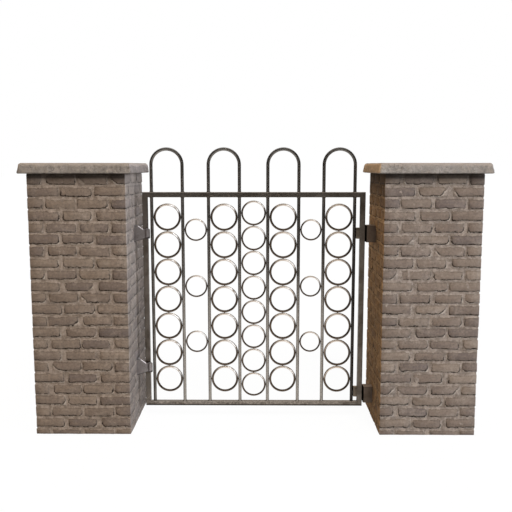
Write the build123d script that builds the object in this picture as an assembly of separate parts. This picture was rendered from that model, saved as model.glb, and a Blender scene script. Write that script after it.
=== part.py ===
from build123d import *
import os
from math import atan2, degrees

# All lengths in millimetres. X runs along the wall, -Y faces the visitor, Z is up.
# The origin lies on the ground, midway between the two piers, at half their depth.

# Brick piers and their stone caps
opening_width = 1182.0
pier_side = 450.0
pier_height = 1234.0
pier_arris = 4.0
cap_overhang = 37.0
cap_height = 48.0
cap_lean_in = 9.0
cap_edge_round = 7.0

# Welded frame of the leaf, hung between the piers
hinge_side_gap = 39.5
latch_side_gap = 55.0
frame_section = 25.0
frame_edge = 1.5
top_rail_z = 1129.5
bottom_rail_height = 22.0
bottom_rail_z = 79.0

# Bow-topped hoops of round bar
hoop_bar = 16.0
hoop_width = 151.0
hoop_spring_z = 1274.0
hoop_hole_fit = 0.25
first_bar_space = 11.5
last_bar_space = 18.5
hoop_space_offsets = (-2.0, 9.4, -7.4)

# Rings of round rod that fill the spaces between the upright bars
ring_fit = 0.25
ring_gap = 1.3
large_ring_rod = 11.0
large_ring_lift = 8.5
middle_ring_rod = 9.0
middle_ring_lift = 4.5
small_ring_rod = 8.0
small_ring_count = 3
small_ring_lift = 73.5
small_ring_spacing = 280.5

# Pin hinges on the left pier, in front of the hinge stile
hinge_axis_inset = 26.5
hinge_axis_y = -30.5
upper_hinge_z = 940.5
lower_hinge_z = 270.5
knuckle_diameter = 24.0
knuckle_stack = 44.0
gate_knuckle_height = 20.0
knuckle_play = 0.5
pin_diameter = 10.0
pin_tail = 2.0
pin_head_diameter = 17.0
pin_head_height = 3.0
pin_head_round = 1.2
pin_seat_fit = 0.05
pin_running_fit = 0.3
arm_thickness = 6.0
arm_front_y = -29.5
arm_root_height = 80.0
arm_shoulder = 19.0
arm_neck = 20.5
arm_neck_top = 21.0
arm_clearance = 1.5
wall_plate_thickness = 6.0
wall_plate_depth = 50.0
wall_plate_edge = 2.0
strap_thickness = 4.5
strap_height = 32.0
strap_tail = 11.5
strap_bar_fit = 0.3

# Catches on the latch stile and the keeps on the right pier
upper_catch_z = 941.5
upper_catch_height = 54.0
lower_catch_z = 140.5
lower_catch_height = 51.0
catch_plate_thickness = 4.0
catch_block_depth = 24.0
catch_bar_fit = 0.3
catch_edge = 1.5
upper_keep_z = 938.0
lower_keep_z = 122.0
keep_width = 46.5
keep_depth = 46.0
keep_height = 84.0
keep_front_y = 2.0
keep_wall = 5.0
keep_front_round = 7.0
keep_top_round = 3.0

half_opening = opening_width / 2
half_frame = frame_section / 2
bar_radius = hoop_bar / 2


def block(x0, x1, y0, y1, z0, z1):
    """One straight-sided solid between the given limits."""
    middle = ((x0 + x1) / 2, (y0 + y1) / 2, (z0 + z1) / 2)
    return Pos(*middle) * Box(x1 - x0, y1 - y0, z1 - z0)


def front_profile(points, front_y, depth):
    """A flat outline drawn as seen from the front and given a depth."""
    face = make_face(Polyline(*[(x, front_y, z) for x, z in points], close=True))
    return extrude(face, amount=depth, dir=(0, 1, 0))


def upright(x, y, radius, z0, z1):
    return Pos(x, y, (z0 + z1) / 2) * Cylinder(radius, z1 - z0)


def pier(side):
    middle_x = side * (half_opening + pier_side / 2)
    shaft = Pos(middle_x, 0, pier_height / 2) * Box(pier_side, pier_side, pier_height)
    return chamfer(shaft.edges().filter_by(Axis.Z), pier_arris)


def cap(side):
    middle_x = side * (half_opening + pier_side / 2)
    foot = pier_side + 2 * cap_overhang
    lean = degrees(atan2(cap_lean_in, cap_height))
    slab = extrude(Rectangle(foot, foot), amount=cap_height, taper=lean)
    worn_edges = slab.edges() - slab.faces().sort_by(Axis.Z)[0].edges()
    return Pos(middle_x, 0, pier_height) * fillet(worn_edges, cap_edge_round)


# Limits of the leaf frame, shared by its four members
frame_left = -half_opening + hinge_side_gap
frame_right = half_opening - latch_side_gap
frame_top = top_rail_z + half_frame
frame_bottom = bottom_rail_z - bottom_rail_height / 2
inner_left = frame_left + frame_section
inner_right = frame_right - frame_section
inner_top = frame_top - frame_section
inner_bottom = frame_bottom + bottom_rail_height

# Upright bars: four hoops, and what is left of the width shared by the three spaces between them
hoop_outer = hoop_width + hoop_bar
hoop_count = len(hoop_space_offsets) + 1
free_width = inner_right - inner_left - first_bar_space - last_bar_space - hoop_count * hoop_outer
mean_hoop_space = free_width / len(hoop_space_offsets)
hoop_centres = [inner_left + first_bar_space + hoop_outer / 2]
for offset in hoop_space_offsets:
    hoop_centres.append(hoop_centres[-1] + hoop_outer + mean_hoop_space + offset)
hinge_axis_x = frame_left + hinge_axis_inset


def frame_member(points, long_axis):
    """A mitred bar of the frame with its long edges eased."""
    member = front_profile(points, -half_frame, frame_section)
    return chamfer(member.edges().filter_by(long_axis), frame_edge)


def top_rail():
    rail = frame_member(
        [(frame_left, frame_top), (frame_right, frame_top), (inner_right, inner_top), (inner_left, inner_top)],
        Axis.X,
    )
    for centre in hoop_centres:
        for side in (-1, 1):
            x = centre + side * hoop_width / 2
            rail -= upright(x, 0, bar_radius + hoop_hole_fit, inner_top - 1, frame_top + 1)
    return rail


def bottom_rail():
    return frame_member(
        [
            (frame_left, frame_bottom),
            (frame_right, frame_bottom),
            (inner_right, inner_bottom),
            (inner_left, inner_bottom),
        ],
        Axis.X,
    )


def stile(outer_x, inner_x):
    return frame_member(
        [(outer_x, frame_bottom), (outer_x, frame_top), (inner_x, inner_top), (inner_x, inner_bottom)],
        Axis.Z,
    )


def hoop(centre):
    """Two legs and a half-round bow, bent from one bar that stands on the bottom rail."""
    left = centre - hoop_width / 2
    right = centre + hoop_width / 2
    crown = (centre, 0, hoop_spring_z + hoop_width / 2)
    left_leg = Line((left, 0, inner_bottom), (left, 0, hoop_spring_z))
    bow = ThreePointArc((left, 0, hoop_spring_z), crown, (right, 0, hoop_spring_z))
    right_leg = Line((right, 0, hoop_spring_z), (right, 0, inner_bottom))
    path = left_leg + bow + right_leg
    start = Plane(origin=(left, 0, inner_bottom), z_dir=(0, 0, 1))
    return sweep(start * Circle(bar_radius), path=path)


def column_span(index):
    """Middle and clear width of the space to the right of upright bar number index."""
    bars = [centre + side * hoop_width / 2 for centre in hoop_centres for side in (-1, 1)]
    left = bars[index] + bar_radius
    right = bars[index + 1] - bar_radius
    return (left + right) / 2, right - left


def ring_column(index, rod, lift, count=None, spacing=None):
    """Rings stacked to fill the height between the rails, or a few set apart by a given spacing."""
    middle_x, clear = column_span(index)
    outer = clear - 2 * ring_fit
    pitch = spacing if spacing else outer + ring_gap
    clear_height = inner_top - inner_bottom - 2 * lift
    count = count if count else int(clear_height // pitch)
    mid_z = (inner_top + inner_bottom) / 2 + lift
    rings = []
    for step in range(count):
        z = mid_z + (step - (count - 1) / 2) * pitch
        ring = Torus((outer - rod) / 2, rod / 2)
        rings.append(Pos(middle_x, 0, z) * Rot(90, 0, 0) * ring)
    return Compound(children=rings)


# Spans of the hinge stack measured from its own middle
stack_top = knuckle_stack / 2
gate_top = gate_knuckle_height / 2
arm_back_y = arm_front_y + arm_thickness
knuckle_radius = knuckle_diameter / 2


def hinge_bracket(z):
    """Wall plate, flared arm and the outer two knuckles, forged as one."""
    root_x = -half_opening
    arm = front_profile(
        [
            (root_x, z - arm_root_height / 2),
            (root_x, z + arm_root_height / 2),
            (root_x + arm_shoulder, z + arm_root_height / 2),
            (hinge_axis_x - arm_neck, z + arm_neck_top),
            (hinge_axis_x, z + stack_top),
            (hinge_axis_x, z - stack_top),
            (hinge_axis_x - knuckle_radius, z - stack_top),
        ],
        arm_front_y,
        arm_thickness,
    )
    plate = block(
        root_x,
        root_x + wall_plate_thickness,
        arm_front_y,
        arm_front_y + wall_plate_depth,
        z - arm_root_height / 2,
        z + arm_root_height / 2,
    )
    plate = chamfer(plate.faces().sort_by(Axis.X)[-1].edges().filter_by(Axis.Y), wall_plate_edge)
    bracket = plate + arm
    bracket += upright(hinge_axis_x, hinge_axis_y, knuckle_radius, z - stack_top, z + stack_top)
    turning_room = knuckle_radius + arm_clearance
    half_room = gate_top + knuckle_play
    bracket -= upright(hinge_axis_x, hinge_axis_y, turning_room, z - half_room, z + half_room)
    bore = pin_diameter / 2 + pin_seat_fit
    return bracket - upright(hinge_axis_x, hinge_axis_y, bore, z - stack_top - 1, z + stack_top + 1)


def hinge_pin(z):
    shank = upright(hinge_axis_x, hinge_axis_y, pin_diameter / 2, z - stack_top - pin_tail, z + stack_top)
    head = upright(hinge_axis_x, hinge_axis_y, pin_head_diameter / 2, z + stack_top, z + stack_top + pin_head_height)
    head = fillet(head.edges().sort_by(Axis.Z)[-1], pin_head_round)
    return shank + head


def hinge_strap(z):
    """Middle knuckle, its web and the flat strap welded across the front of the stile."""
    strap_right_x = hoop_centres[0] - hoop_width / 2 - bar_radius - strap_bar_fit
    strap_front_y = -half_frame - strap_thickness
    strap = block(
        hinge_axis_x - strap_tail,
        strap_right_x,
        strap_front_y,
        -half_frame,
        z - strap_height / 2,
        z + strap_height / 2,
    )
    web = block(
        hinge_axis_x - knuckle_radius / 2,
        strap_right_x,
        hinge_axis_y,
        strap_front_y,
        z - gate_top,
        z + gate_top,
    )
    knuckle = upright(hinge_axis_x, hinge_axis_y, knuckle_radius, z - gate_top, z + gate_top)
    bore = pin_diameter / 2 + pin_running_fit
    return strap + web + knuckle - upright(hinge_axis_x, hinge_axis_y, bore, z - stack_top, z + stack_top)


def catch(z, height):
    """Block between the last bar and the latch stile, with a plate across the front of the stile."""
    left = hoop_centres[-1] + hoop_width / 2 + bar_radius + catch_bar_fit
    front = -half_frame - catch_plate_thickness
    back = front + catch_plate_thickness + catch_block_depth
    body = block(left, inner_right, front, back, z - height / 2, z + height / 2)
    plate = block(left, frame_right, front, -half_frame, z - height / 2, z + height / 2)
    shape = body + plate
    return chamfer(shape.faces().sort_by(Axis.Y)[0].edges(), catch_edge)


def keep(z):
    """Closed box on the pier beside the latch stile, hollow from below."""
    left = half_opening - keep_width
    back = keep_front_y + keep_depth
    bottom = z - keep_height / 2
    top = z + keep_height / 2
    shell = block(left, half_opening, keep_front_y, back, bottom, top)
    front_left = shell.edges().filter_by(Axis.Z).group_by(Axis.Y)[0].sort_by(Axis.X)[0]
    shell = fillet(front_left, keep_front_round)
    seen_top_edges = shell.faces().sort_by(Axis.Z)[-1].edges()
    wall_edge = seen_top_edges.sort_by(Axis.X)[-1]
    shell = fillet(seen_top_edges - [wall_edge], keep_top_round)
    hollow = block(
        left + keep_wall,
        half_opening - keep_wall,
        keep_front_y + keep_wall,
        back - keep_wall,
        bottom - 1,
        top - keep_wall,
    )
    return shell - hollow


parts = {
    "left_pier": pier(-1),
    "right_pier": pier(1),
    "left_cap": cap(-1),
    "right_cap": cap(1),
    "upper_hinge_bracket": hinge_bracket(upper_hinge_z),
    "lower_hinge_bracket": hinge_bracket(lower_hinge_z),
    "upper_hinge_pin": hinge_pin(upper_hinge_z),
    "lower_hinge_pin": hinge_pin(lower_hinge_z),
    "upper_keep": keep(upper_keep_z),
    "lower_keep": keep(lower_keep_z),
    "top_rail": top_rail(),
    "bottom_rail": bottom_rail(),
    "hinge_stile": stile(frame_left, inner_left),
    "latch_stile": stile(frame_right, inner_right),
    "upper_hinge_strap": hinge_strap(upper_hinge_z),
    "lower_hinge_strap": hinge_strap(lower_hinge_z),
    "upper_catch": catch(upper_catch_z, upper_catch_height),
    "lower_catch": catch(lower_catch_z, lower_catch_height),
}

for number, centre in enumerate(hoop_centres, start=1):
    parts[f"hoop_{number}"] = hoop(centre)

for number in (1, 3, 5, 7):
    parts[f"ring_column_{number}"] = ring_column(number - 1, large_ring_rod, large_ring_lift)
for number in (2, 6):
    parts[f"ring_column_{number}"] = ring_column(
        number - 1, small_ring_rod, small_ring_lift, small_ring_count, small_ring_spacing
    )
parts["ring_column_4"] = ring_column(3, middle_ring_rod, middle_ring_lift)

os.makedirs("parts", exist_ok=True)
for name, shape in parts.items():
    export_step(shape, f"parts/{name}.step")
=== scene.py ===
import math
import random

import bmesh
import bpy
from mathutils import Matrix, Vector, noise


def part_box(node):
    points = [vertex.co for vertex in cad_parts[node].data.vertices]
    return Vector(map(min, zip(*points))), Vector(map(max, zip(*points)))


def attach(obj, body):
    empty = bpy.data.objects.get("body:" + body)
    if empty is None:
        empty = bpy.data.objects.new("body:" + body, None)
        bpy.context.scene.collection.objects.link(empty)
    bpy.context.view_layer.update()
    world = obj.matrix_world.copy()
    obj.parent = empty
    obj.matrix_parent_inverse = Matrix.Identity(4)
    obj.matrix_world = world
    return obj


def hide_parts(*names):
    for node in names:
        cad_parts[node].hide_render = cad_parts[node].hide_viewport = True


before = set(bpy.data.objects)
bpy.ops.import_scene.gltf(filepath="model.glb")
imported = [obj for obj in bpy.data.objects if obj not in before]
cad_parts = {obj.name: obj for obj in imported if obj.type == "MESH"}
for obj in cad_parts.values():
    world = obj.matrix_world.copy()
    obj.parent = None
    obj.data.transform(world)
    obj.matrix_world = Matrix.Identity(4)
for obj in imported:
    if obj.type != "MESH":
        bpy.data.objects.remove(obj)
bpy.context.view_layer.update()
print("frame loaded:", len(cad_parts), "solids")

# the ripples of noise_vector differ from run to run unless their seed is set
rippleSeed = 7
noise.seed_set(rippleSeed)


# Small helpers for modelling by operator

def startFresh():
    if bpy.context.object and bpy.context.object.mode != "OBJECT":
        bpy.ops.object.mode_set(mode="OBJECT")
    bpy.ops.object.select_all(action="DESELECT")


def makeActive(piece):
    startFresh()
    piece.select_set(True)
    bpy.context.view_layer.objects.active = piece


def addCube(name, low, high):
    startFresh()
    middle = [(a + b) / 2 for a, b in zip(low, high)]
    bpy.ops.mesh.primitive_cube_add(size=1, location=middle)
    piece = bpy.context.object
    piece.name = name
    piece.scale = [b - a for a, b in zip(low, high)]
    bpy.ops.object.transform_apply(location=True, rotation=True, scale=True)
    return piece


def selectParts(piece, kind, wanted):
    # leaves the piece in edit mode with only the edges or faces that wanted() accepts
    makeActive(piece)
    bpy.ops.object.mode_set(mode="EDIT")
    bpy.ops.mesh.select_mode(type=kind)
    bpy.ops.mesh.select_all(action="DESELECT")
    mesh = bmesh.from_edit_mesh(piece.data)
    mesh.normal_update()
    for part in mesh.edges if kind == "EDGE" else mesh.faces:
        part.select_set(wanted(part))
    bmesh.update_edit_mesh(piece.data)


def leaveEdit():
    bpy.ops.object.mode_set(mode="OBJECT")


def bevelEdges(piece, wanted, offset, segments):
    selectParts(piece, "EDGE", wanted)
    bpy.ops.mesh.bevel(offset=offset, segments=segments, affect="EDGES")
    leaveEdit()


def cutEdges(piece, wanted, cuts):
    selectParts(piece, "EDGE", wanted)
    bpy.ops.mesh.subdivide(number_cuts=cuts)
    leaveEdit()


def edgeAlong(edge, axis):
    run = (edge.verts[1].co - edge.verts[0].co).normalized()
    return abs(run[axis]) > 0.9


def keepWithin(piece, low, high, axes=(0, 1, 2)):
    for vertex in piece.data.vertices:
        for axis in axes:
            vertex.co[axis] = min(max(vertex.co[axis], low[axis]), high[axis])


def applyModifier(piece, kind, **settings):
    makeActive(piece)
    modifier = piece.modifiers.new(kind.lower(), kind)
    for key, value in settings.items():
        setattr(modifier, key, value)
    bpy.ops.object.modifier_apply(modifier=modifier.name)


def roughen(piece, size, strength, depth=2, group=""):
    # pushes the surface in and out by a cloudy pattern of the given grain size
    pattern = bpy.data.textures.new(piece.name + "Lumps", "CLOUDS")
    pattern.noise_scale = size
    pattern.noise_depth = depth
    applyModifier(
        piece, "DISPLACE", texture=pattern, texture_coords="LOCAL",
        strength=strength, mid_level=0.5, vertex_group=group,
    )


def joinPieces(pieces, name):
    startFresh()
    for piece in pieces:
        piece.select_set(True)
    bpy.context.view_layer.objects.active = pieces[0]
    bpy.ops.object.join()
    joined = bpy.context.object
    joined.name = name
    return joined


def copyOf(model):
    copy = bpy.data.objects.new(model.name + "Copy", model.data.copy())
    bpy.context.collection.objects.link(copy)
    return copy


def anySeed(luck):
    return Vector((luck.uniform(0, 50), luck.uniform(0, 50), luck.uniform(0, 50)))


def paint(piece, *materials):
    piece.data.materials.clear()
    for material in materials:
        piece.data.materials.append(material)


def smoothShade(piece, degrees):
    makeActive(piece)
    bpy.ops.object.shade_smooth_by_angle(angle=math.radians(degrees))


# Shader building blocks: each finds its node tree by the sockets that it is given

def treeOf(*values):
    return next(value.id_data for value in values if isinstance(value, bpy.types.NodeSocket))


def feed(socket, value):
    # a socket takes another socket, a colour or a number
    if isinstance(value, bpy.types.NodeSocket):
        socket.id_data.links.new(value, socket)
    elif isinstance(value, (tuple, list)):
        socket.default_value = (*value, 1)
    else:
        socket.default_value = value


def feedAll(sockets, values):
    for label, value in values.items():
        feed(sockets[label], value)


def addNode(tree, kind, **settings):
    node = tree.nodes.new(kind)
    for key, value in settings.items():
        setattr(node, key, value)
    return node


def reckon(operation, *values, clamp=False):
    node = addNode(treeOf(*values), "ShaderNodeMath", operation=operation, use_clamp=clamp)
    for socket, value in zip(node.inputs, values):
        feed(socket, value)
    return node.outputs["Value"]


def plus(first, second):
    return reckon("ADD", first, second)


def minus(first, second):
    return reckon("SUBTRACT", first, second)


def times(first, *others):
    for other in others:
        first = reckon("MULTIPLY", first, other)
    return first


def larger(first, second):
    return reckon("MAXIMUM", first, second)


def smaller(first, second):
    return reckon("MINIMUM", first, second)


def scaled(value, factor, start):
    return reckon("MULTIPLY_ADD", value, factor, start)


def ramp(value, low, high):
    # eased from 0 at low to 1 at high, and either may be the larger
    node = addNode(treeOf(value), "ShaderNodeMapRange", interpolation_type="SMOOTHSTEP")
    feedAll(node.inputs, {"Value": value, "From Min": low, "From Max": high})
    return node.outputs["Result"]


def clouds(place, size, detail, roughness):
    node = addNode(treeOf(place), "ShaderNodeTexNoise")
    feedAll(node.inputs, {"Vector": place, "Scale": size, "Detail": detail, "Roughness": roughness})
    return node.outputs["Fac"]


def patches(place, size, detail, roughness, start, full):
    return ramp(clouds(place, size, detail, roughness), start, full)


def mixed(factor, first, second, mode="MIX"):
    node = addNode(treeOf(factor, first, second), "ShaderNodeMix", data_type="RGBA", blend_type=mode)
    for index, value in zip((0, 6, 7), (factor, first, second)):
        feed(node.inputs[index], value)
    return node.outputs[2]


def tinted(colour, tint):
    return mixed(1.0, colour, tint, "MULTIPLY")


def toned(place, tones):
    # a colour between those of the list, by a value from 0 to 1
    node = addNode(treeOf(place), "ShaderNodeValToRGB")
    stops = node.color_ramp.elements
    while len(stops) < len(tones):
        stops.new(0.5)
    for stop, (position, colour) in zip(stops, tones):
        stop.position = position
        stop.color = (*colour, 1)
    feed(node.inputs["Fac"], place)
    return node.outputs["Color"]


def partsOf(vector):
    node = addNode(treeOf(vector), "ShaderNodeSeparateXYZ")
    feed(node.inputs["Vector"], vector)
    return node.outputs[0], node.outputs[1], node.outputs[2]


def objectPlace(tree):
    return addNode(tree, "ShaderNodeTexCoord").outputs["Object"]


def facingOf(tree):
    return partsOf(addNode(tree, "ShaderNodeTexCoord").outputs["Normal"])


def storedOn(tree, name):
    return addNode(tree, "ShaderNodeAttribute", attribute_name=name).outputs["Vector"]


def addBump(shader, height, distance):
    node = addNode(treeOf(height), "ShaderNodeBump")
    feedAll(node.inputs, {"Distance": distance, "Strength": 1.0, "Height": height})
    feed(shader.inputs["Normal"], node.outputs["Normal"])


def newMaterial(name):
    material = bpy.data.materials.new(name)
    material.use_nodes = True
    return material, material.node_tree, material.node_tree.nodes["Principled BSDF"]


def newGroup(name, inputs, outputs):
    # an input's kind follows from its first value: a number, a place or a colour
    kinds = {3: "NodeSocketVector", 4: "NodeSocketColor"}
    group = bpy.data.node_groups.new(name, "ShaderNodeTree")
    for label, value in inputs.items():
        kind = kinds[len(value)] if isinstance(value, tuple) else "NodeSocketFloat"
        group.interface.new_socket(label, in_out="INPUT", socket_type=kind).default_value = value
    for label in outputs:
        kind = "NodeSocketColor" if label == "Colour" else "NodeSocketFloat"
        group.interface.new_socket(label, in_out="OUTPUT", socket_type=kind)
    return group, group.nodes.new("NodeGroupInput").outputs, group.nodes.new("NodeGroupOutput").inputs


def useGroup(group, **values):
    node = addNode(treeOf(*values.values()), "ShaderNodeGroup", node_tree=group)
    feedAll(node.inputs, values)
    return node.outputs


# Effects that several materials share; five numbers are a cloudy mask: size, detail, roughness, start, full
effectValues = {
    "speckle": (5.0, 0.7),
    "pits": (2.0, 0.5),
    "pitSize": 0.35,
    "pitShare": (0.16, 0.27),
    "pitRim": 0.05,
    "stain": (5.0, 0.62),
    "wholeCorner": 0.022,
    "cutLength": 2.4,
    "cutSlope": 0.7,
    "limeCloud": (48.0, 5.0, 0.72, 0.36, 0.62),
    "sand": (330.0, 4.0, 0.75),
    "sandRange": (0.32, 0.68),
    "sandShade": (0.5, 0.74),
}


def buildGrainGroup(values):
    # sandy grain, with small pits, for brick, stone and steel alike
    group, given, made = newGroup(
        "mineralGrain", {"Place": (0, 0, 0), "Grain": 300.0, "Pits": 0.5}, ("Speckle", "PitMask", "Relief"),
    )
    speckle = clouds(given["Place"], given["Grain"], *values["speckle"])
    pitted = clouds(given["Place"], times(given["Grain"], values["pitSize"]), *values["pits"])
    rim = scaled(given["Pits"], *values["pitShare"])
    pits = minus(1.0, ramp(pitted, rim, plus(rim, values["pitRim"])))
    feedAll(made, {"Speckle": speckle, "PitMask": pits, "Relief": minus(speckle, pits)})
    return group


def buildStainGroup(values):
    # cloudy patches that lighten or darken a surface
    group, given, made = newGroup(
        "weatherStains", {"Place": (0, 0, 0), "Size": 12.0, "Start": 0.45, "Full": 0.7}, ("Mask",),
    )
    cloud = clouds(given["Place"], given["Size"], *values["stain"])
    feed(made["Mask"], ramp(cloud, given["Start"], given["Full"]))
    return group


def buildCornerGroup(values):
    # distance inwards from a rounded corner, broken off straight where its radius is large
    group, given, made = newGroup("roundedCorner", {"Along": 0.1, "Up": 0.1, "Radius": 0.005}, ("Distance",))
    along, up, radius = given["Along"], given["Up"], given["Radius"]
    shorts = [minus(radius, along), minus(radius, up)]
    outside = [larger(short, 0.0) for short in shorts]
    reach = reckon("SQRT", plus(*(times(part, part) for part in outside)))
    rounded = minus(radius, plus(reach, smaller(larger(*shorts), 0.0)))
    cut = times(larger(minus(radius, values["wholeCorner"]), 0.0), values["cutLength"])
    broken = times(minus(plus(along, up), cut), values["cutSlope"])
    feed(made["Distance"], smaller(rounded, broken))
    return group


def buildMortarGroup(values):
    # the colour of lime mortar, shared by the beds and by the smears over the bricks
    group, given, made = newGroup(
        "mortarLook", {"Place": (0, 0, 0), "Light": (1, 1, 1, 1), "Dark": (0, 0, 0, 1)}, ("Colour", "Relief"),
    )
    cloud = patches(given["Place"], *values["limeCloud"])
    sand = clouds(given["Place"], *values["sand"])
    shade = scaled(ramp(sand, *values["sandRange"]), *values["sandShade"])
    colour = mixed(cloud, given["Dark"], given["Light"])
    feedAll(made, {"Colour": tinted(colour, shade), "Relief": plus(sand, cloud)})
    return group


# The edge of a brick: how the mortar runs over it, in metres inwards from its outline
outlineValues = {
    "jointGap": 0.003,
    "upperCorner": 0.004,
    "coarse": (46.0, 4.0, 0.65),
    "crumbs": (210.0, 3.0, 0.7),
    "crumbShare": 0.6,
    "face": (0.0, 0.0008),
    "crackStart": (-0.0030, -0.0020),
    "crackEnd": (0.0012, 0.0024),
    "crackHeights": (0.014, -0.008),
    "crackPatches": (21.0, 4.0, 0.65, 0.38, 0.52),
    "faintCrack": 0.18,
    "topBand": (0.0015, 0.0055),
    "topHeights": (0.0, 0.012),
    "lipStart": (-0.0024, -0.0036),
    "lipEnd": (-0.0070, -0.0110),
}


def buildOutlineGroup(corner, values):
    # where a brick's face shows through the mortar, the painted shadow line along its lower edge and the
    # painted highlight on the mortar below it
    group, given, made = newGroup(
        "brickOutline",
        {
            "Place": (0, 0, 0), "Joints": (1, 1, 0), "Look": (0.5, 0.01, 0.01),
            "HalfHeight": 0.021, "Smear": 0.004,
        },
        ("Face", "CrackShadow", "TopEdge", "LipHighlight"),
    )
    place, half = given["Place"], given["HalfHeight"]
    toLeft, toRight, height = partsOf(given["Joints"])
    _, leftRadius, rightRadius = partsOf(given["Look"])
    left = minus(toLeft, values["jointGap"])
    right = minus(toRight, values["jointGap"])
    reaches = []
    for up, radii in (
        (plus(half, height), (leftRadius, rightRadius)), (minus(half, height), (values["upperCorner"],) * 2),
    ):
        for along, radius in zip((left, right), radii):
            reaches.append(useGroup(corner, Along=along, Up=up, Radius=radius)["Distance"])
    inwards = smaller(smaller(*reaches[:2]), smaller(*reaches[2:]))
    crumbs = times(minus(clouds(place, *values["crumbs"]), 0.5), values["crumbShare"])
    wander = plus(minus(clouds(place, *values["coarse"]), 0.5), crumbs)
    inwards = plus(inwards, times(wander, given["Smear"]))
    face = ramp(inwards, *values["face"])
    band = minus(ramp(inwards, *values["crackStart"]), ramp(inwards, *values["crackEnd"]))
    lowness = ramp(height, *values["crackHeights"])
    strength = patches(place, *values["crackPatches"])
    topBand = minus(1.0, ramp(inwards, *values["topBand"]))
    lipBand = minus(ramp(inwards, *values["lipStart"]), ramp(inwards, *values["lipEnd"]))
    feedAll(made, {
        "Face": face,
        "CrackShadow": times(band, lowness, larger(strength, values["faintCrack"])),
        "TopEdge": times(topBand, face, ramp(height, *values["topHeights"])),
        "LipHighlight": times(lipBand, lowness, strength),
    })
    return group


# Painted shadow below the caps, and painted light and shade on the faces beside the gate
capShadowValues = {
    "towards": (0.4, 0.8),
    "beside": (-0.600, -0.596),
    "ragged": (22.0, 3.0, 0.6),
    "raggedness": 0.02,
    "innerShadowFurther": 0.12,
    "capShadowReach": (0.085, 0.020),
    "shadowReach": (0.0240, 0.0200),
    "shadowShare": 0.45,
    "softShare": 0.55,
    "innerShare": 0.82,
    "capShadowStrength": 0.78,
    "wash": 0.35,
    "blotches": (38.0, 0.40, 0.62),
    "footHeights": (0.85, 0.45),
    "footShade": 0.035,
}


def buildCapShadowGroup(values):
    # a painted shadow band below a cap, and which faces look towards the gate
    group, given, made = newGroup(
        "paintedCapShadow", {"Place": (0, 0, 0), "CapLine": 1.0, "GateSide": 1.0, "InnerDamp": 0.0},
        ("Damp", "InnerFace"),
    )
    facing, _, _ = facingOf(group)
    x, _, z = partsOf(given["Place"])
    towards = ramp(times(facing, given["GateSide"]), *values["towards"])
    innerFace = times(towards, ramp(times(x, given["GateSide"]), *values["beside"]))
    below = minus(given["CapLine"], z)
    ragged = scaled(clouds(given["Place"], *values["ragged"]), values["raggedness"], below)
    unshadedInner = times(innerFace, minus(1.0, given["InnerDamp"]))
    innerFurther = times(innerFace, given["InnerDamp"], values["innerShadowFurther"])
    farthest, nearest = values["capShadowReach"]
    soft = ramp(ragged, plus(innerFurther, farthest), nearest)
    shadow = times(ramp(below, *values["shadowReach"]), values["shadowShare"])
    reach = plus(times(soft, values["softShare"]), shadow)
    inner = minus(times(soft, values["innerShare"]), reach)
    reach = plus(reach, times(innerFace, inner))
    feedAll(made, {"Damp": times(reach, minus(1.0, unshadedInner)), "InnerFace": innerFace})
    return group


grainGroup = buildGrainGroup(effectValues)
capShadowGroup = buildCapShadowGroup(capShadowValues)
stainGroup = buildStainGroup(effectValues)
mortarGroup = buildMortarGroup(effectValues)
outlineGroup = buildOutlineGroup(buildCornerGroup(effectValues), outlineValues)


def stained(place, size, start, full):
    return useGroup(stainGroup, Place=place, Size=size, Start=start, Full=full)["Mask"]


def paintedLightAndShade(place, colour, lime, values):
    capShading = useGroup(
        capShadowGroup, Place=place, CapLine=lime["capLine"], GateSide=lime["gateSide"],
        InnerDamp=lime["innerShadowReach"],
    )
    stainAndShade = lime["stainAndShade"]
    # painted light on the faces beside the gate: pale and cool on the left pier, warm on the right
    inner = tinted(colour, lime["innerLightTint"])
    if lime["innerLightWash"]:
        inner = mixed(values["wash"], inner, lime["innerLightWash"])
    if lime["innerStains"]:
        inner = mixed(times(stained(place, *values["blotches"]), lime["innerStains"]), inner, stainAndShade)
    lowness = ramp(partsOf(place)[2], *values["footHeights"])
    inner = mixed(times(lowness, lime["innerFoot"]), inner, stainAndShade)
    colour = mixed(capShading["InnerFace"], colour, inner)
    colour = mixed(times(lowness, values["footShade"]), colour, stainAndShade)
    # the painted shadow below the cap
    return mixed(times(capShading["Damp"], values["capShadowStrength"]), colour, stainAndShade)


# Bricks and mortar
brickFinish = {
    "halfHeight": 0.0206,
    "smear": 0.020,
    "streakScale": (18, 18, 70),
    "streaks": (1.0, 3.0, 0.6),
    "streakShare": 0.9,
    "grain": 380.0,
    "pits": 0.2,
    "pitColour": (0.07, 0.052, 0.04),
    "pitShade": 0.25,
    "wash": (7.0, 6.0, 0.72, 0.46, 0.70),
    "washShare": 0.65,
    "mottle": (85.0, 4.0, 0.7, 0.32, 0.68),
    "mottleShade": (0.28, 0.86),
    "speckleRange": (0.3, 0.7),
    "speckleShade": (0.22, 0.89),
    "topShade": 0.3,
    "lipShare": 0.75,
    "crackShade": 0.9,
    "crackDepth": 2.2,
    "grainDepth": 0.7,
    "dents": (70.0, 4.0, 0.65),
    "dentDepth": 1.2,
    "relief": 0.0018,
    "rough": 0.88,
    "mortarRough": 0.92,
    "mortarRelief": 0.0016,
    "sheen": 0.25,
}


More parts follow.
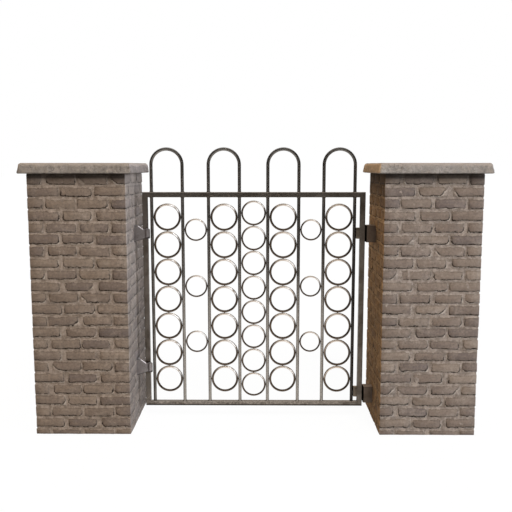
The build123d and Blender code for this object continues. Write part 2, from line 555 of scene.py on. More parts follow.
def brickMaterial(name, tones, mortar, values):
    # every brick keeps its own tone and corners, stored on its mesh, with mortar smeared over its edges
    material, tree, shader = newMaterial(name)
    place = objectPlace(tree)
    look = storedOn(tree, "brickLook")
    outline = useGroup(
        outlineGroup, Place=place, Joints=storedOn(tree, "jointPlace"), Look=look,
        HalfHeight=values["halfHeight"], Smear=values["smear"],
    )
    bed = useGroup(mortarGroup, Place=place, Light=mortar["light"], Dark=mortar["dark"])
    grain = useGroup(grainGroup, Place=place, Grain=values["grain"], Pits=values["pits"])
    stretched = addNode(tree, "ShaderNodeMapping")
    stretched.inputs["Scale"].default_value = values["streakScale"]
    feed(stretched.inputs["Vector"], place)
    drag = minus(clouds(stretched.outputs["Vector"], *values["streaks"]), 0.5)
    colour = toned(scaled(drag, values["streakShare"], partsOf(look)[0]), tones)
    colour = mixed(times(patches(place, *values["wash"]), values["washShare"]), colour, bed["Colour"])
    colour = tinted(colour, scaled(patches(place, *values["mottle"]), *values["mottleShade"]))
    colour = tinted(colour, scaled(ramp(grain["Speckle"], *values["speckleRange"]), *values["speckleShade"]))
    colour = mixed(times(grain["PitMask"], values["pitShade"]), colour, values["pitColour"])
    colour = mixed(times(outline["TopEdge"], values["topShade"]), colour, mortar["stainAndShade"])
    # painted highlight on the mortar lip below each brick
    lime = mixed(times(outline["LipHighlight"], values["lipShare"]), bed["Colour"], mortar["lipHighlight"])
    colour = mixed(outline["Face"], lime, colour)
    # painted shadow along each brick's lower edge
    colour = mixed(times(outline["CrackShadow"], values["crackShade"]), colour, mortar["stainAndShade"])
    feedAll(shader.inputs, {
        "Base Color": paintedLightAndShade(place, colour, mortar, capShadowValues),
        "Roughness": values["rough"],
        "Specular IOR Level": values["sheen"],
    })
    height = minus(outline["Face"], times(outline["CrackShadow"], values["crackDepth"]))
    height = plus(height, times(grain["Relief"], values["grainDepth"]))
    height = plus(height, times(clouds(place, *values["dents"]), values["dentDepth"]))
    addBump(shader, height, values["relief"])
    return material


def mortarMaterial(name, mortar, values):
    material, tree, shader = newMaterial(name)
    place = objectPlace(tree)
    bed = useGroup(mortarGroup, Place=place, Light=mortar["light"], Dark=mortar["dark"])
    feedAll(shader.inputs, {
        "Base Color": paintedLightAndShade(place, bed["Colour"], mortar, capShadowValues),
        "Roughness": values["mortarRough"],
        "Specular IOR Level": values["sheen"],
    })
    addBump(shader, bed["Relief"], values["mortarRelief"])
    return material


# Sandstone of the caps, with painted light on its upper edge
stoneFinish = {
    "grain": 240.0,
    "pits": 0.38,
    "pitColour": (0.09, 0.07, 0.05),
    "pitShade": 0.75,
    "broad": (9.0, 0.38, 0.66),
    "worn": (13.0, 0.48, 0.62),
    "fine": (45.0, 0.45, 0.7),
    "fineShare": 0.55,
    "veins": (85.0, 5.0, 0.75, 0.36, 0.60),
    "veinShade": (0.60, 0.66),
    "scratched": (16.0, 4.0, 0.6, 0.40, 0.58),
    "leastScratched": 0.3,
    "crownWander": (30.0, 3.0, 0.6),
    "wander": 0.016,
    "crownReach": (-0.012, 0.004),
    "speckleRange": (0.3, 0.7),
    "speckleShade": (0.3, 0.85),
    "leastRough": 0.8,
    "dents": (48.0, 5.0, 0.7),
    "dentDepth": 2.6,
    "relief": 0.003,
}


def stoneMaterial(name, stone, lime, topEdge, values):
    material, tree, shader = newMaterial(name)
    place = objectPlace(tree)
    grain = useGroup(grainGroup, Place=place, Grain=values["grain"], Pits=values["pits"])
    colour = mixed(stained(place, *values["broad"]), stone["dark"], stone["light"])
    colour = mixed(times(stained(place, *values["fine"]), values["fineShare"]), colour, stone["warm"])
    veined = tinted(colour, scaled(patches(place, *values["veins"]), *values["veinShade"]))
    colour = mixed(larger(patches(place, *values["scratched"]), values["leastScratched"]), colour, veined)
    # painted light along the upper edge
    uneven = scaled(clouds(place, *values["crownWander"]), values["wander"], partsOf(place)[2])
    colour = mixed(ramp(uneven, *(topEdge + reach for reach in values["crownReach"])), colour, stone["crown"])
    colour = tinted(colour, scaled(ramp(grain["Speckle"], *values["speckleRange"]), *values["speckleShade"]))
    pitted = times(grain["PitMask"], times(stained(place, *values["worn"]), values["pitShade"]))
    colour = mixed(pitted, colour, values["pitColour"])
    # painted light on the faces beside the gate
    facing = useGroup(capShadowGroup, Place=place, GateSide=lime["gateSide"])["InnerFace"]
    feed(shader.inputs["Base Color"], mixed(facing, colour, tinted(colour, lime["stoneSideLight"])))
    feed(shader.inputs["Roughness"], larger(ramp(grain["Speckle"], 0.0, 1.0), values["leastRough"]))
    dents = times(clouds(place, *values["dents"]), values["dentDepth"])
    addBump(shader, plus(grain["Relief"], dents), values["relief"])
    return material


# Steel: dull oxide over bright metal, with small rusty freckles
steelFinish = {
    "patches": (14.0, 0.42, 0.68),
    "freckles": (120.0, 0.55, 0.72),
    "freckleShare": 0.6,
    "grain": 500.0,
    "pits": 0.4,
    "brightening": 2.0,
    "darkening": (0.028, 0.024, 0.021),
    "upward": (0.3, 0.8),
    "westward": (-0.5, -0.85),
    "westColour": (0.006, 0.005, 0.004),
    "freckleRough": 0.25,
    "patchRough": 0.08,
    "metallic": 0.97,
    "freckleMatt": 0.7,
    "gleamMatt": 0.8,
    "sheen": 0.5,
    "relief": 0.0005,
}


def steelMaterial(
    name, metal, dull, rust, shine, wearAndSheen=None, darkening=None, edges=None, topGleam=1.0, westShade=False,
):
    # a painted highlight makes a top matt and pale, painted shade makes a west side dark and matt
    values = steelFinish
    material, tree, shader = newMaterial(name)
    place = objectPlace(tree)
    east, _, up = facingOf(tree)
    duller = stained(place, *values["patches"])
    freckle = stained(place, *values["freckles"])
    colour = mixed(duller, metal, dull)
    # brightened by wear and painted reflection, and darkened where the marks below say, mostly painted shade
    if wearAndSheen:
        colour = mixed(wearAndSheen(place), colour, [values["brightening"] * part for part in metal])
    if darkening:
        colour = mixed(darkening(place), colour, values["darkening"])
    colour = mixed(times(freckle, values["freckleShare"]), colour, rust)
    upward = ramp(up, *values["upward"])
    if edges:
        upward = edges(place, upward)
    colour = mixed(upward, colour, [min(1.0, topGleam * part) for part in metal])
    rough = plus(scaled(freckle, values["freckleRough"], shine), times(duller, values["patchRough"]))
    metallic = minus(values["metallic"], times(freckle, values["freckleMatt"]))
    if westShade:
        westward = ramp(east, *values["westward"])
        colour = mixed(westward, colour, values["westColour"])
        metallic = reckon("SUBTRACT", metallic, westward, clamp=True)
        feed(shader.inputs["Specular IOR Level"], scaled(westward, -values["sheen"], values["sheen"]))
    if topGleam > 1.0:
        metallic = reckon("SUBTRACT", metallic, times(upward, values["gleamMatt"]), clamp=True)
    feedAll(shader.inputs, {"Base Color": colour, "Roughness": rough, "Metallic": metallic})
    grain = useGroup(grainGroup, Place=place, Grain=values["grain"], Pits=values["pits"])
    addBump(shader, grain["Relief"], values["relief"])
    return material


# Where the steel carries painted reflection, painted shade and wear: each mark fades from the first of two
# places to the second
marks = {
    "litRight": (0.44, 0.38),
    "litLeft": (-0.46, -0.40),
    "litHeights": (0.82, 0.47),
    "bows": (1.07, 1.09),
    "bowLit": 0.22,
    "bowUnshaded": -0.6,
    "lastBar": (0.44, 0.47),
    "lastBarHeights": (0.6, 1.2),
    "lastBarShade": (-0.4, 0.88),
    "rightHalf": (-0.05, 0.15),
    "rightHeights": (0.65, 0.85),
    "rightShade": 0.4,
    "railFoot": (0.0780, 0.0740),
    "railShade": 0.85,
    "stiles": (0.495, 0.51),
    "stileHeights": (0.75, 0.5),
    "stileShade": 0.2,
    "topRail": (1.045, 1.055),
    "topShade": 0.09,
    "keepEdge": (0.5335, 0.5350),
    "keepHeights": (0.6, 0.3),
    "keepShade": 0.2,
    "scuffs": (75.0, 4.0, 0.7, 0.44, 0.60),
    "scuffShare": 0.8,
    "scuffSpan": (0.47, 0.38),
    "scuffHeights": (0.16, 0.11),
}


def litMiddle(place):
    # painted reflection: the lower middle bars, and a little the bows above the top rail, are brightened;
    # those beside the piers are not
    x, _, z = partsOf(place)
    middle = times(ramp(x, *marks["litRight"]), ramp(x, *marks["litLeft"]))
    middle = times(middle, ramp(z, *marks["litHeights"]))
    return larger(middle, times(ramp(z, *marks["bows"]), marks["bowLit"]))


def shadedBars(place):
    # painted shade: the last bar beside the catches, and the upper right of the gate below the top rail, are
    # darkest
    x, _, z = partsOf(place)
    depth = scaled(ramp(z, *marks["lastBarHeights"]), *marks["lastBarShade"])
    lastBar = times(ramp(x, *marks["lastBar"]), depth)
    shaded = times(ramp(x, *marks["rightHalf"]), marks["rightShade"], ramp(z, *marks["rightHeights"]))
    return times(larger(lastBar, shaded), scaled(ramp(z, *marks["bows"]), marks["bowUnshaded"], 1.0))


def shadedEdges(place):
    # painted shade: the edge that looks at the keeps is black, the foot of the bottom rail, the top of the
    # top rail and the lower stiles darker
    x, _, z = partsOf(place)
    stiles = times(ramp(reckon("ABSOLUTE", x), *marks["stiles"]), ramp(z, *marks["stileHeights"]))
    foot = times(ramp(z, *marks["railFoot"]), marks["railShade"])
    head = times(ramp(z, *marks["topRail"]), marks["topShade"])
    shade = larger(larger(foot, head), times(stiles, marks["stileShade"]))
    return larger(shade, ramp(x, *marks["keepEdge"]))


def darkerLowKeep(place):
    # the lower keep is darker than the upper
    return times(ramp(partsOf(place)[2], *marks["keepHeights"]), marks["keepShade"])


def scuffedFoot(place):
    # the bottom rail is kicked bright in patches
    x, _, z = partsOf(place)
    scuffs = times(patches(place, *marks["scuffs"]), marks["scuffShare"])
    return times(scuffs, ramp(x, *marks["scuffSpan"]), ramp(z, *marks["scuffHeights"]))


# The flared arms of the hinge brackets: their outline in metres, and the painted highlight and shade along
# their edges
armLook = {
    "halfRoot": 0.040,
    "shoulder": 0.019,
    "neck": 0.0455,
    "slant": 0.717,
    "footSlant": 0.333,
    "highlightLine": (0.0036, 0.0018),
    "shadowLine": (0.0036, 0.00144),
    "before": 0.001,
    "after": 0.002,
    "dullTop": 0.25,
    "brightening": 0.85,
    "footShadow": 0.8,
    "shoulderShadow": 0.7,
    "shoulderReach": (0.020, 0.017),
    "upperHeights": (0.5, 0.7),
    "upperShade": 0.17,
}


def armPlaces(place):
    # on either bracket: how far out from the pier, how far below the arm's top edge and above its foot
    low, high = (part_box(node) for node in ("lower_hinge_bracket", "upper_hinge_bracket"))
    middle = (low[0].z + low[1].z) / 2
    spacing = high[0].z - low[0].z
    x, _, z = partsOf(place)
    height = minus(reckon("MODULO", minus(z, middle - spacing / 2), spacing), spacing / 2)
    along = minus(x, low[0].x)
    past = larger(minus(along, armLook["shoulder"]), 0.0)
    edge = minus(armLook["halfRoot"], times(past, armLook["slant"]))
    foot = minus(times(along, armLook["footSlant"]), armLook["halfRoot"])
    return along, minus(edge, height), minus(height, foot), z


def slantHighlight(place, upward):
    # painted highlight: the slanted top edge of each arm is bright, the rest of its top less so
    along, below, _, _ = armPlaces(place)
    before, after = armLook["before"], armLook["after"]
    slanted = times(
        ramp(along, armLook["shoulder"] - before, armLook["shoulder"] + after),
        ramp(along, armLook["neck"] + after, armLook["neck"] - before),
    )
    line = ramp(below, *armLook["highlightLine"])
    dulled = times(upward, larger(slanted, armLook["dullTop"]))
    return larger(dulled, times(line, times(slanted, armLook["brightening"])))


def shadedArm(place):
    # painted shadow along the foot and the shoulder of each arm, and a darker upper bracket
    along, below, above, height = armPlaces(place)
    foot = times(ramp(above, *armLook["shadowLine"]), armLook["footShadow"])
    shoulder = times(ramp(below, *armLook["shadowLine"]), armLook["shoulderShadow"])
    edges = larger(foot, times(shoulder, ramp(along, *armLook["shoulderReach"])))
    return larger(edges, times(ramp(height, *armLook["upperHeights"]), armLook["upperShade"]))


# The rings carry painted reflection on their crowns and a painted highlight to the right of them, and stay
# dark below, with painted shade on their lower right
ringFinish = {
    "counts": {"1": 7, "2": 3, "3": 7, "4": 8, "5": 7, "6": 3, "7": 7},
    "foot": (0.135, 0.098, 0.070),
    "shade": (0.03, 0.023, 0.014),
    "crown": (0.80, 0.67, 0.555),
    "highlight": (0.94, 0.91, 0.89),
    "lustre": {"1": 1.0, "2": 0.9, "3": 1.0, "4": 0.9, "5": 1.0, "6": 0.9, "7": 0.15},
    "lean": {"7": -0.42},
    "usualLean": 0.22,
    "crownHeight": 0.94,
    "wander": (40.0, 3.0, 0.6),
    "wandering": 0.5,
    "crownReach": (0.55, 1.15),
    "gleamAcross": (-0.05, 0.42),
    "gleamUp": (0.1, 0.6),
    "gleamPatches": (45.0, 2.0, 0.5, 0.30, 0.55),
    "gleamFacing": (0.78, 0.93),
    "shadeLean": 0.3,
    "shadeReach": (0.55, 0.9),
    "shadeShare": 0.42,
    "specks": (260.0, 3.0, 0.6),
    "speckRange": (0.3, 0.7),
    "speckShade": (0.35, 0.8),
    "roughness": 0.24,
    "metallic": (-0.85, 0.9),
    "relief": 0.0004,
}


def ringLayout(number):
    # the box of a column of rings, their outer radius, and the height from one to the next
    low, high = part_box("ring_column_" + number)
    radius = (high.x - low.x) / 2
    pitch = (high.z - low.z - 2 * radius) / (ringFinish["counts"][number] - 1)
    return low, high, radius, pitch


def ringMaterial(number, values):
    material, tree, shader = newMaterial("ringSteel" + number)
    place = objectPlace(tree)
    low, high, radius, pitch = ringLayout(number)
    x, _, z = partsOf(place)
    steps = reckon("DIVIDE", minus(z, low.z + radius), pitch)
    height = times(minus(steps, reckon("ROUND", steps)), pitch / radius)
    aside = reckon("DIVIDE", minus(x, (low.x + high.x) / 2), radius)
    lean = values["lean"].get(number, values["usualLean"])
    turned = plus(times(height, values["crownHeight"]), times(aside, lean))
    # painted reflection on the crowns
    crown = ramp(scaled(clouds(place, *values["wander"]), values["wandering"], turned), *values["crownReach"])
    colour = mixed(crown, values["foot"], values["crown"])
    # painted highlight to the right of the crowns
    gleam = times(ramp(aside, *values["gleamAcross"]), ramp(height, *values["gleamUp"]))
    gleam = times(gleam, times(patches(place, *values["gleamPatches"]), values["lustre"][number]))
    gleam = times(gleam, ramp(reckon("ABSOLUTE", facingOf(tree)[1]), *values["gleamFacing"]))
    colour = mixed(gleam, colour, values["highlight"])
    # painted shade on the lower right
    sunk = minus(aside, times(height, values["shadeLean"]))
    colour = mixed(times(ramp(sunk, *values["shadeReach"]), values["shadeShare"]), colour, values["shade"])
    specks = clouds(place, *values["specks"])
    colour = tinted(colour, scaled(ramp(specks, *values["speckRange"]), *values["speckShade"]))
    feedAll(shader.inputs, {
        "Base Color": colour,
        "Roughness": values["roughness"],
        "Metallic": scaled(gleam, *values["metallic"]),
    })
    addBump(shader, specks, values["relief"])
    return material


# Colours of the left pier, which is browner, and of the right one, which is paler: partly their own tones,
# partly painted light falling more on the right; so too the mortar and caps
brickTones = {
    "left": [
        (0.0, (0.1032, 0.0768, 0.0638)),
        (0.4, (0.1359, 0.0983, 0.0733)),
        (0.75, (0.1617, 0.1181, 0.0861)),
        (1.0, (0.1935, 0.1446, 0.1068)),
    ],
    "right": [
        (0.0, (0.1328, 0.1037, 0.0902)),
        (0.4, (0.1681, 0.1275, 0.1016)),
        (0.75, (0.1929, 0.1488, 0.1173)),
        (1.0, (0.2319, 0.1819, 0.1443)),
    ],
}
# the inner tints and wash are painted light on the faces beside the gate, the stone tint the same on the caps
limes = {
    "left": {
        "light": (0.249, 0.191, 0.147), "dark": (0.144, 0.107, 0.080), "lipHighlight": (0.345, 0.276, 0.214),
        "stainAndShade": (0.016, 0.010, 0.007), "innerLightTint": (1.70, 1.80, 1.97), "stoneSideLight": (1.37, 1.36, 1.46),
        "capLine": 1.234, "gateSide": 1.0, "innerShadowReach": 0.0, "innerStains": 0.0,
        "innerLightWash": (0.285, 0.238, 0.206), "innerFoot": 0.17,
    },
    "right": {
        "light": (0.288, 0.234, 0.194), "dark": (0.171, 0.136, 0.111), "lipHighlight": (0.385, 0.326, 0.272),
        "stainAndShade": (0.020, 0.015, 0.011), "innerLightTint": (1.76, 1.42, 0.90), "stoneSideLight": (1.74, 1.43, 1.03),
        "capLine": 1.234, "gateSide": -1.0, "innerShadowReach": 1.25, "innerStains": 0.34,
        "innerLightWash": None, "innerFoot": 0.08,
    },
}
stones = {
    "left": {
        "light": (0.225, 0.188, 0.158), "dark": (0.165, 0.136, 0.111), "warm": (0.255, 0.207, 0.16),
        "crown": (0.285, 0.23, 0.183),
    },
    "right": {
        "light": (0.29, 0.257, 0.229), "dark": (0.214, 0.187, 0.164), "warm": (0.318, 0.268, 0.218),
        "crown": (0.318, 0.264, 0.223),
    },
}
steelLooks = {
    "gateSteel": {
        "metal": (0.20, 0.170, 0.142), "dull": (0.13, 0.106, 0.083), "rust": (0.10, 0.06, 0.035),
        "shine": 0.3, "wearAndSheen": scuffedFoot, "darkening": shadedEdges, "topGleam": 1.25,
    },
    "barSteel": {
        "metal": (0.18, 0.163, 0.144), "dull": (0.12, 0.107, 0.093), "rust": (0.09, 0.06, 0.04),
        "shine": 0.26, "wearAndSheen": litMiddle, "darkening": shadedBars,
    },
    "weldSteel": {
        "metal": (0.23, 0.187, 0.155), "dull": (0.17, 0.137, 0.112), "rust": (0.15, 0.085, 0.052),
        "shine": 0.45,
    },
    "bracketSteel": {
        "metal": (0.46, 0.42, 0.41), "dull": (0.35, 0.315, 0.305), "rust": (0.15, 0.11, 0.09),
        "shine": 0.36, "darkening": shadedArm, "edges": slantHighlight, "topGleam": 2.2,
    },
    "keepSteel": {
        "metal": (0.22, 0.165, 0.125), "dull": (0.165, 0.125, 0.095), "rust": (0.12, 0.07, 0.04),
        "shine": 0.45, "darkening": darkerLowKeep, "topGleam": 1.4, "westShade": True,
    },
    "catchSteel": {
        "metal": (0.19, 0.153, 0.116), "dull": (0.137, 0.109, 0.083), "rust": (0.10, 0.06, 0.04),
        "shine": 0.38, "darkening": shadedEdges, "topGleam": 1.6,
    },
}
brick, mortar, stone = {}, {}, {}
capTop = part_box("left_cap")[1].z
for side in ("left", "right"):
    brick[side] = brickMaterial(side + "PierBrick", brickTones[side], limes[side], brickFinish)
    mortar[side] = mortarMaterial(side + "PierMortar", limes[side], brickFinish)
    stone[side] = stoneMaterial(side + "CapStone", stones[side], limes[side], capTop, stoneFinish)
steel = {name: steelMaterial(name, **look) for name, look in steelLooks.items()}
print("materials ready")

# Brickwork of the two piers
brickworkValues = {
    "coursePitch": 0.0548,
    "brickHeight": 0.0480,
    "joint": 0.0063,
    "topBed": 0.0034,
    "thinnestCourse": 0.012,
    "footGap": 0.0005,
    "arris": 0.0018,
    "arrisDepth": 0.0013,
    "cornerArris": 0.85,
    "cornerRound": 0.006,
    "faceCuts": 5,
    "cornerCuts": 3,
    "looseness": 0.002,
    "trim": 0.013,
    "thinness": (0.93, 1.02),
    "tilt": 0.6,
    "proud": 0.0009,
    "courseWave": 0.0018,
    "waveScale": (9, 40),
    "roughness": 0.0018,
    "rippleScale": 30,
    "rippleDepth": 0.6,
    "tone": (0.48, 0.2),
    "outlineShift": 0.0030,
    "lowCorner": (0.005, 0.0215),
    "brokenCorner": (0.031, 0.038),
    "brokenShare": 0.16,
    "bedColumns": 47,
    "bedRowsHalf": 46,
    "bedRecess": 0.0016,
    "rowGap": 0.001,
    "lumps": 0.0014,
    "lumpScales": (28, 85),
    "brickSmooth": 60,
    "bedSmooth": 75,
}


def brickSizes(side, joint):
    # the long face of a brick, three across a pier, and its depth into the pier
    stretcher = (side - 2 * joint) / 3
    return stretcher, (side - 2 * stretcher - 3 * joint) / 2


def modelFaceBrick(length, depth, values):
    # a brick seen on its long face only: rounded outline, eased front arris
    recess = values["arrisDepth"]
    high = [part / 2 for part in (length, depth, values["brickHeight"])]
    low = [-part for part in high]
    low[1] += recess
    brick = addCube("faceBrick", low, high)
    bevelEdges(brick, lambda edge: edgeAlong(edge, 1), values["cornerRound"], 2)
    cutEdges(brick, lambda edge: edgeAlong(edge, 0), values["faceCuts"])
    selectParts(brick, "FACE", lambda face: face.normal.y < -0.9)
    bpy.ops.mesh.inset(thickness=values["arris"], depth=recess)
    leaveEdit()
    return brick


def modelCornerBrick(length, depth, values):
    # a brick seen on its long face and on one end
    high = [part / 2 for part in (length, depth, values["brickHeight"])]
    brick = addCube("cornerBrick", [-part for part in high], high)
    cutEdges(brick, lambda edge: edgeAlong(edge, 0), values["cornerCuts"])

    def onOutline(edge):
        if len(edge.link_faces) != 2:
            return False
        return edge.link_faces[0].normal.dot(edge.link_faces[1].normal) < 0.5

    bevelEdges(brick, onOutline, values["arris"] * values["cornerArris"], 1)
    return brick


def courseBricks(side, joint, wide):
    # ten bricks of one course: place from the pier's middle, face that shows, and whether it turns a corner
    stretcher, header = brickSizes(side, joint)
    edgeLine = (side - header) / 2
    step = stretcher + joint
    bricks = []
    for face in (-1, 1):
        for shift in (-1, 0, 1):
            bricks.append((shift * step, face * edgeLine, shift != 0, wide))
        for shift in (-1, 1):
            bricks.append((shift * step / 2, face * edgeLine, False, not wide))
    return bricks


def noteJoints(mesh, half, outerEnd, cutHeight, fullHeight, shift):
    # stores on each face corner how far the head joints lie to its left and right, and its height
    joints = mesh.attributes.new("jointPlace", "FLOAT_VECTOR", "CORNER")
    far = 1.0
    stretch = cutHeight / (2 * half[2])
    for polygon in mesh.polygons:
        atEnd = outerEnd != 0 and polygon.normal.x * outerEnd > 0.8
        for index in polygon.loop_indices:
            place = mesh.vertices[mesh.loops[index].vertex_index].co
            left = place.x + half[0]
            right = half[0] - place.x
            if atEnd:
                left = right = half[1] - place.y
            if outerEnd > 0:
                left, right = (far, right) if atEnd else (left, far)
            if outerEnd < 0:
                left, right = (left, far) if atEnd else (far, right)
            height = fullHeight / 2 - (half[2] - place.z) * stretch
            joints.data[index].vector = (left + shift[0], right + shift[1], height + shift[2])


def layBrick(model, along, across, facesVisitor, height, middleZ, corner, values, luck):
    # one copy of the brick, with its own tone, corners and slightly loose seat
    copy = copyOf(model)
    mesh = copy.data
    half = [max(abs(v.co[i]) for v in mesh.vertices) for i in range(3)]
    turn = 0 if across < 0 else math.pi
    if not facesVisitor:
        turn = -math.pi / 2 if across < 0 else math.pi / 2
    aside = along if turn in (0, -math.pi / 2) else -along
    outerEnd = math.copysign(1, aside) if corner else 0
    shift = [luck.uniform(-1, 1) * values["outlineShift"] for _ in range(3)]
    noteJoints(mesh, half, outerEnd, height, values["brickHeight"], shift)
    tone = min(1.0, max(0.0, luck.gauss(*values["tone"])))
    radii = [luck.uniform(*values["lowCorner"]) for _ in range(2)]
    if luck.random() < values["brokenShare"]:
        radii[luck.randrange(2)] = luck.uniform(*values["brokenCorner"])
    look = mesh.attributes.new("brickLook", "FLOAT_VECTOR", "POINT")
    trim = luck.uniform(0, values["trim"])
    thinness = luck.uniform(*values["thinness"])
    slide = outerEnd * trim / 2 if corner else luck.uniform(-1, 1) * (values["looseness"] + trim / 2)
    proud = luck.uniform(-1, 1) * values["proud"]
    tilt = math.radians(luck.uniform(-values["tilt"], values["tilt"]))
    seed = anySeed(luck)
    turning = Matrix.Rotation(turn, 3, "Z")
    waveAlong, waveUp = values["waveScale"]
    for vertex in mesh.vertices:
        place = vertex.co.copy()
        ripple = noise.noise_vector(place * values["rippleScale"] + seed) * values["roughness"]
        ripple.y *= values["rippleDepth"]
        place += ripple
        place.z *= thinness * height / (2 * half[2])
        place.x *= 1 - trim / (2 * half[0])
        place.x += slide
        place.y -= proud
        place = Matrix.Rotation(tilt, 3, "Y") @ place
        place += Vector((aside, -abs(across), middleZ))
        place.z += noise.noise(Vector((place.x * waveAlong, middleZ * waveUp, turn))) * values["courseWave"]
        vertex.co = turning @ place
        look.data[vertex.index].vector = (tone, *radii)
    return copy


def bedLevels(low, high, count, values):
    # heights for the rows of points: at the edges and the middle of every course and joint
    pitch = values["coursePitch"]
    height = values["brickHeight"]
    levels = [high.z]
    top = high.z - values["topBed"]
    while top > low.z:
        places = [top - drop for drop in (0.0, height / 2, height, (height + pitch) / 2)]
        levels += [place for place in places if place > low.z + values["rowGap"]]
        top -= pitch
    while len(levels) < count - 1:
        levels.append((levels[-1] + low.z) / 2)
    return levels[:count - 1] + [low.z]


def buildMortar(name, low, high, values):
    # the bed that the bricks sit in, lumpy and a little behind their faces
    bed = addCube(name, low, high)
    for cuts in (1, values["bedRowsHalf"]):
        cutEdges(bed, lambda edge: edgeAlong(edge, 2), cuts)
    cutEdges(bed, lambda edge: not edgeAlong(edge, 2), values["bedColumns"])
    rows = sorted({round(v.co.z, 5) for v in bed.data.vertices})
    level = dict(zip(reversed(rows), bedLevels(low, high, len(rows), values)))
    middle = (low + high) / 2
    reach = (high.x - low.x) / 2 - 0.0001
    broadScale, fineScale = values["lumpScales"]
    for vertex in bed.data.vertices:
        vertex.co.z = level[round(vertex.co.z, 5)]
        broad = noise.noise(vertex.co * broadScale)
        fine = noise.noise(vertex.co * fineScale + Vector((7, 3, 1)))
        push = (broad + fine) * values["lumps"] - values["bedRecess"]
        for axis in (0, 1):
            aside = vertex.co[axis] - middle[axis]
            if abs(aside) > reach:
                vertex.co[axis] += push * math.copysign(1, aside)
    return bed


def buildPier(node, name, brick, mortar, values, seed):
    low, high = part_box(node)
    side = high.x - low.x
    middle = (low + high) / 2
    luck = random.Random(seed)
    sizes = brickSizes(side, values["joint"])
    faceModel = modelFaceBrick(*sizes, values)
    cornerModel = modelCornerBrick(*sizes, values)
    bricks = []
    course = 0
    top = high.z - values["topBed"]
    while top - low.z > values["thinnestCourse"]:
        bottom = max(low.z + values["footGap"], top - values["brickHeight"])
        for along, across, corner, facesVisitor in courseBricks(side, values["joint"], course % 2 == 1):
            model = cornerModel if corner else faceModel
            bricks.append(layBrick(
                model, along, across, facesVisitor, top - bottom, (top + bottom) / 2, corner, values, luck,
            ))
        top -= values["coursePitch"]
        course += 1
    for model in (faceModel, cornerModel):
        bpy.data.objects.remove(model)
    masonry = joinPieces(bricks, name)
    masonry.data.transform(Matrix.Translation((middle.x, middle.y, 0)))
    paint(masonry, brick, mortar)
    bed = buildMortar(name + "Bed", low, high, values)
    paint(bed, brick, mortar)
    for polygon in bed.data.polygons:
        polygon.material_index = 1
    smoothShade(masonry, values["brickSmooth"])
    smoothShade(bed, values["bedSmooth"])
    pier = joinPieces([masonry, bed], name)
    keepWithin(pier, low, high, axes=(2,))
    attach(pier, "piers")
    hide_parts(node)
    return pier


leftPier = buildPier("left_pier", "leftPierBrickwork", brick["left"], mortar["left"], brickworkValues, 11)
buildPier("right_pier", "rightPierBrickwork", brick["right"], mortar["right"], brickworkValues, 29)
print("piers built:", len(leftPier.data.polygons), "faces each")

# Stone caps, sawn long ago and worn since
capValues = {
    "inset": 0.0012,
    "leanIn": 0.009,
    "topRound": 0.010,
    "topSegments": 4,
    "footRound": 0.004,
    "footSegments": 2,
    "voxel": 0.0055,
    "lumps": 0.003,
    "lumpSize": 0.09,
    "smallLumps": 0.8,
    "smallLumpSize": 0.02,
    "chips": 0.006,
    "chipSize": 0.016,
    "wornFrom": 0.93,
    "wornWidth": 0.07,
    "lessAbove": 0.6,
    "smooth": 80,
}


def buildCap(node, name, stone, values):
    low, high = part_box(node)
    middle = (low + high) / 2
    inset = Vector((values["inset"], values["inset"], 0))
    slab = addCube(name, low + inset, high - inset)
    selectParts(slab, "FACE", lambda face: face.normal.z > 0.9)
    shrink = 1 - 2 * values["leanIn"] / (high.x - low.x)
    bpy.ops.transform.resize(value=(shrink, shrink, 1), center_override=(middle.x, middle.y, high.z))
    leaveEdit()

    def topOf(edge):
        return max(v.co.z for v in edge.verts)

    bevelEdges(slab, lambda edge: topOf(edge) >= middle.z, values["topRound"], values["topSegments"])
    bevelEdges(slab, lambda edge: topOf(edge) < low.z + 0.001, values["footRound"], values["footSegments"])
    applyModifier(slab, "REMESH", mode="VOXEL", voxel_size=values["voxel"])
    roughen(slab, values["lumpSize"], values["lumps"])
    roughen(slab, values["smallLumpSize"], values["lumps"] * values["smallLumps"], depth=3)
    edges = slab.vertex_groups.new(name="worn")
    for vertex in slab.data.vertices:
        sideways = max(abs(vertex.co.x - middle.x), abs(vertex.co.y - middle.y)) / ((high.x - low.x) / 2)
        height = (vertex.co.z - low.z) / (high.z - low.z)
        weight = max(0.0, (sideways - values["wornFrom"]) / values["wornWidth"])
        edges.add([vertex.index], min(1.0, weight * (1.0 - values["lessAbove"] * height)), "REPLACE")
    roughen(slab, values["chipSize"], values["chips"], group="worn")
    keepWithin(slab, low, high)
    slab.vertex_groups.clear()
    paint(slab, stone)
    smoothShade(slab, values["smooth"])
    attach(slab, "piers")
    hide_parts(node)
    return slab


leftCap = buildCap("left_cap", "leftCapSlab", stone["left"], capValues)
buildCap("right_cap", "rightCapSlab", stone["right"], capValues)
print("caps built:", len(leftCap.data.polygons), "faces each")

# Finishes of the CAD steelwork
finishOf = {
    "hoop": "barSteel", "bracket": "bracketSteel", "pin": "bracketSteel", "strap": "bracketSteel",
    "keep": "keepSteel", "catch": "catchSteel",
}
for name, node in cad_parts.items():
    finish = steel["gateSteel"]
    for word, look in finishOf.items():
        if word in name:
            finish = steel[look]
    if "ring" in name:
        finish = ringMaterial(name.split("_")[-1], ringFinish)
    for holder in node.material_slots:
        holder.material = finish
print("steel finished")

# Weld beads where the rings meet the bars and one another, and where the bars meet the rails
weldValues = {
    "acrossBar": 0.0044,
    "deep": 0.0070,
    "tall": 0.0052,
    "railTall": 0.0050,
    "railDeeper": 1.3,
    "rounding": 0.0022,
    "ripple": 0.0008,
    "touching": 0.004,
    "seed": 53,
}
unevenness = {
    "swell": (0.88, 1.12),
    "rippleScale": 180,
    "smooth": 60,
}


